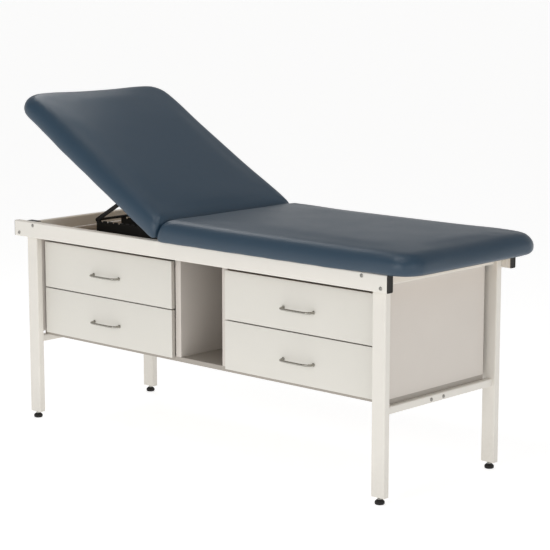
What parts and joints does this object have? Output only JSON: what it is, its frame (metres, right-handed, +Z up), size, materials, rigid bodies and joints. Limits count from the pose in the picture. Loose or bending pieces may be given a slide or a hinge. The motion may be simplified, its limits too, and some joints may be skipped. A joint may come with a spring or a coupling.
{
  "type": "medical exam table",
  "caption": "Steel-framed padded exam table with a drawer cabinet, an open centre compartment and a hinged backrest held up by a ratchet prop.",
  "frame": {"origin": "on the floor, under the middle of the table's overall length and width", "axes": "+X towards the foot end, -Y the side with the drawer fronts, +Z up"},
  "size_m": [1.8162, 0.676, 1.1851],
  "materials": {
    "frame_steel": "warm white powder coat, satin, faint orange peel",
    "black_plastic": "moulded black polyethylene plugs",
    "foot_rubber": "black rubber pad on a plated stem",
    "cabinet_laminate": "warm grey-white melamine on particleboard, fine pebble texture",
    "drawer_laminate": "warm white laminate on particleboard, smooth satin",
    "drawer_box_board": "pale wrapped board",
    "zinc_steel": "zinc-plated rolled steel",
    "satin_metal": "satin nickel-plated wire",
    "black_steel": "black enamelled steel",
    "plywood": "raw birch plywood",
    "blue_vinyl": "slate-blue upholstery vinyl over foam, soft leather grain, satin sheen"
  },
  "bodies": {
    "frame": {"front_side_rail": "frame_steel", "front_ratchet_rack": "black_steel", "front_head_rail_plug": "black_plastic", "front_foot_rail_plug": "black_plastic", "rear_side_rail": "frame_steel", "rear_ratchet_rack": "black_steel", "rear_head_rail_plug": "black_plastic", "rear_foot_rail_plug": "black_plastic", "head_front_leg": "frame_steel", "head_front_leg_plug": "black_plastic", "head_rear_leg": "frame_steel", "head_rear_leg_plug": "black_plastic", "head_upper_cross_rail": "frame_steel", "head_lower_cross_rail": "frame_steel", "head_end_panel": "cabinet_laminate", "head_partition": "cabinet_laminate", "head_lower_drawer_left_runner": "zinc_steel", "head_lower_drawer_right_runner": "zinc_steel", "head_upper_drawer_left_runner": "zinc_steel", "head_upper_drawer_right_runner": "zinc_steel", "foot_front_leg": "frame_steel", "foot_front_leg_plug": "black_plastic", "foot_rear_leg": "frame_steel", "foot_rear_leg_plug": "black_plastic", "foot_upper_cross_rail": "frame_steel", "foot_lower_cross_rail": "frame_steel", "foot_end_panel": "cabinet_laminate", "foot_partition": "cabinet_laminate", "foot_lower_drawer_left_runner": "zinc_steel", "foot_lower_drawer_right_runner": "zinc_steel", "foot_upper_drawer_left_runner": "zinc_steel", "foot_upper_drawer_right_runner": "zinc_steel", "cabinet_floor": "cabinet_laminate", "cabinet_top": "cabinet_laminate", "cabinet_back": "cabinet_laminate", "hinge_pin": "black_steel", "seat_hinge_leaf": "black_steel", "seat_board": "plywood", "seat_cushion": "blue_vinyl"},
    "backrest": {"backrest_hinge_leaf": "black_steel", "backrest_board": "plywood", "backrest_cushion": "blue_vinyl", "prop_bracket": "black_steel"},
    "prop": {"backrest_prop": "black_steel"},
    "head_lower_drawer": {"head_lower_drawer_front": "drawer_laminate", "head_lower_drawer_box": "drawer_box_board", "head_lower_drawer_pull": "satin_metal"},
    "head_upper_drawer": {"head_upper_drawer_front": "drawer_laminate", "head_upper_drawer_box": "drawer_box_board", "head_upper_drawer_pull": "satin_metal"},
    "foot_lower_drawer": {"foot_lower_drawer_front": "drawer_laminate", "foot_lower_drawer_box": "drawer_box_board", "foot_lower_drawer_pull": "satin_metal"},
    "foot_upper_drawer": {"foot_upper_drawer_front": "drawer_laminate", "foot_upper_drawer_box": "drawer_box_board", "foot_upper_drawer_pull": "satin_metal"},
    "head_front_foot": {"head_front_levelling_foot": "foot_rubber"},
    "head_rear_foot": {"head_rear_levelling_foot": "foot_rubber"},
    "foot_front_foot": {"foot_front_levelling_foot": "foot_rubber"},
    "foot_rear_foot": {"foot_rear_levelling_foot": "foot_rubber"}
  },
  "joints": [
    {"name": "backrest_tilt", "type": "hinge", "parent": "frame", "child": "backrest", "pos_m": [-0.1749, 0, 0.711], "axis": [0, 1, 0], "range_deg": [-30, 30]},
    {"name": "prop_fold", "type": "hinge", "parent": "backrest", "child": "prop", "pos_m": [-0.45636, 0, 0.8735], "axis": [0, 1, 0], "range_deg": [-60, 60]},
    {"name": "head_lower_drawer_slide", "type": "slide", "parent": "frame", "child": "head_lower_drawer", "axis": [0, -1, 0], "range_m": [0, 0.36]},
    {"name": "head_upper_drawer_slide", "type": "slide", "parent": "frame", "child": "head_upper_drawer", "axis": [0, -1, 0], "range_m": [0, 0.36]},
    {"name": "foot_lower_drawer_slide", "type": "slide", "parent": "frame", "child": "foot_lower_drawer", "axis": [0, -1, 0], "range_m": [0, 0.36]},
    {"name": "foot_upper_drawer_slide", "type": "slide", "parent": "frame", "child": "foot_upper_drawer", "axis": [0, -1, 0], "range_m": [0, 0.36]},
    {"name": "head_front_foot_level", "type": "slide", "parent": "frame", "child": "head_front_foot", "axis": [0, 0, -1], "range_m": [0, 0.015]},
    {"name": "head_rear_foot_level", "type": "slide", "parent": "frame", "child": "head_rear_foot", "axis": [0, 0, -1], "range_m": [0, 0.015]},
    {"name": "foot_front_foot_level", "type": "slide", "parent": "frame", "child": "foot_front_foot", "axis": [0, 0, -1], "range_m": [0, 0.015]},
    {"name": "foot_rear_foot_level", "type": "slide", "parent": "frame", "child": "foot_rear_foot", "axis": [0, 0, -1], "range_m": [0, 0.015]}
  ],
  "couplings": [
    {"joint": "prop_fold", "follows": "backrest_tilt", "ratio": -2}
  ]
}
